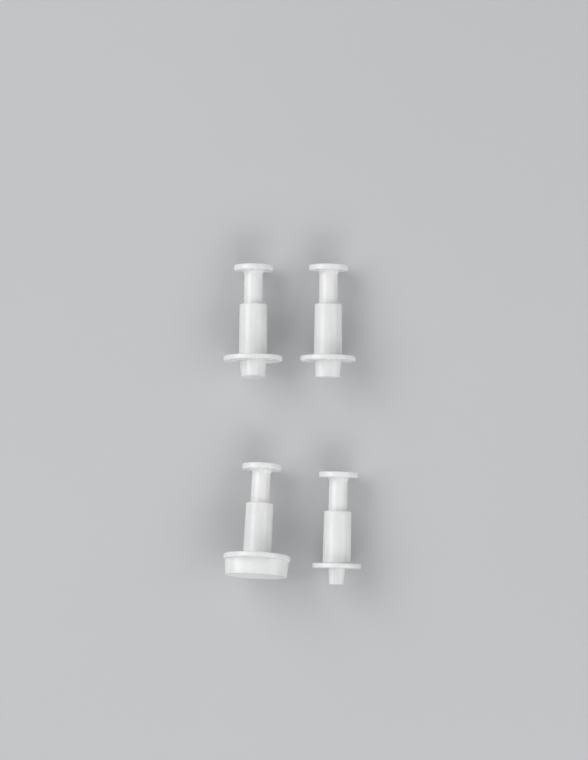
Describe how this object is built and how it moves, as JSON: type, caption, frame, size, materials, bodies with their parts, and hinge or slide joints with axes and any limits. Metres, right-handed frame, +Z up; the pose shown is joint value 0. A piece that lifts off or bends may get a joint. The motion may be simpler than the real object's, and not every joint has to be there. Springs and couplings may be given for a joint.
{
  "type": "oval plunger cutter set",
  "caption": "Set of spring-return oval plunger cutters for sugar paste, in graded sizes: thumb cap and stem slide in a barrel and push the cut oval out of the blade below a finger flange.",
  "frame": {"origin": "middle of the set's footprint, on the table that the cutters lie on", "axes": "+Z up from the table; +Y along the lying cutters, from their blades to their thumb caps; +X across the set to the right"},
  "size_m": [0.0566, 0.1318, 0.0274],
  "materials": {
    "plunger_white": "white moulded plastic, satin gloss",
    "barrel_white": "white moulded plastic, satin gloss",
    "head_white": "white moulded plastic, satin gloss",
    "ejector_white": "white moulded plastic, smooth foot",
    "spring_steel": "bright drawn spring wire"
  },
  "bodies": {
    "cutter_bodies": {"small_barrel": "barrel_white", "small_cutter_head": "head_white", "small_return_spring": "spring_steel", "medium_barrel": "barrel_white", "medium_cutter_head": "head_white", "medium_return_spring": "spring_steel", "large_barrel": "barrel_white", "large_cutter_head": "head_white", "large_return_spring": "spring_steel", "extra_large_barrel": "barrel_white", "extra_large_cutter_head": "head_white", "extra_large_return_spring": "spring_steel"},
    "small_plunger_unit": {"small_plunger": "plunger_white", "small_ejector": "ejector_white"},
    "medium_plunger_unit": {"medium_plunger": "plunger_white", "medium_ejector": "ejector_white"},
    "large_plunger_unit": {"large_plunger": "plunger_white", "large_ejector": "ejector_white"},
    "extra_large_plunger_unit": {"extra_large_plunger": "plunger_white", "extra_large_ejector": "ejector_white"}
  },
  "joints": [
    {"name": "small_press", "type": "slide", "parent": "cutter_bodies", "child": "small_plunger_unit", "axis": [-0.0227, -0.9983, 0.0531], "range_m": [0, 0.0104], "stiffness_N_per_m": 497.7, "springref_m": -0.0067, "deforming": ["small_return_spring"]},
    {"name": "medium_press", "type": "slide", "parent": "cutter_bodies", "child": "medium_plunger_unit", "axis": [-0.0087, -0.9959, 0.0901], "range_m": [0, 0.0104], "stiffness_N_per_m": 497.7, "springref_m": -0.0067, "deforming": ["medium_return_spring"]},
    {"name": "large_press", "type": "slide", "parent": "cutter_bodies", "child": "large_plunger_unit", "axis": [-0.0035, -0.9941, 0.1084], "range_m": [0, 0.0104], "stiffness_N_per_m": 497.7, "springref_m": -0.0067, "deforming": ["large_return_spring"]},
    {"name": "extra_large_press", "type": "slide", "parent": "cutter_bodies", "child": "extra_large_plunger_unit", "axis": [-0.0517, -0.987, 0.1519], "range_m": [0, 0.0104], "stiffness_N_per_m": 497.7, "springref_m": -0.0067, "deforming": ["extra_large_return_spring"]}
  ]
}
